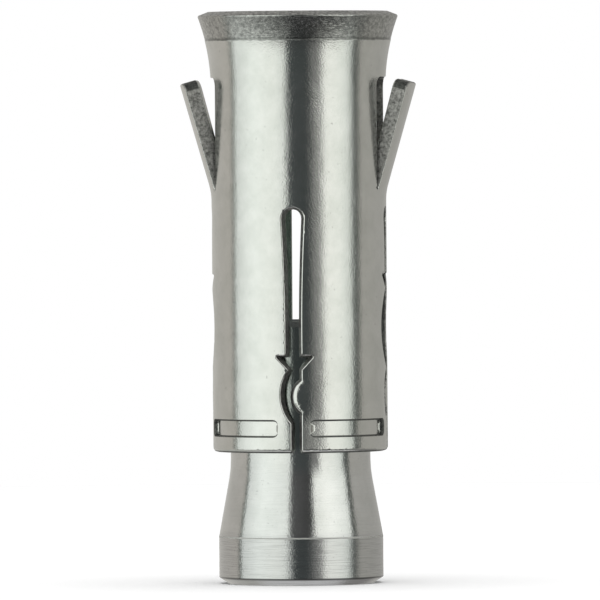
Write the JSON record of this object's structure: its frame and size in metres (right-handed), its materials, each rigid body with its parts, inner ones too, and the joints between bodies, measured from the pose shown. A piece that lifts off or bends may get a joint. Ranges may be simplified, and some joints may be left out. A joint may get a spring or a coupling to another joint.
{
  "type": "hollow ceiling anchor",
  "caption": "Expansion anchor for hollow ceilings: a rolled, slotted steel sleeve with a flared mouth and lanced barbs, gripping a threaded cone nut at its lower end.",
  "frame": {"origin": "centre of the bounding box's bottom face, on the anchor's axis at the wide end of the cone nut", "axes": "+Z along the anchor's axis from the cone nut towards the flared mouth, +X towards one barb, front slot at -Y, open seam of the sheet at +Y"},
  "size_m": [0.0216, 0.0181, 0.052],
  "materials": {
    "plated_sheet": "bright zinc plating on rolled sheet",
    "plated_turned": "bright zinc plating on turned steel"
  },
  "bodies": {
    "root": {"expansion_sleeve": "plated_sheet", "threaded_cone": "plated_turned"}
  },
  "joints": []
}
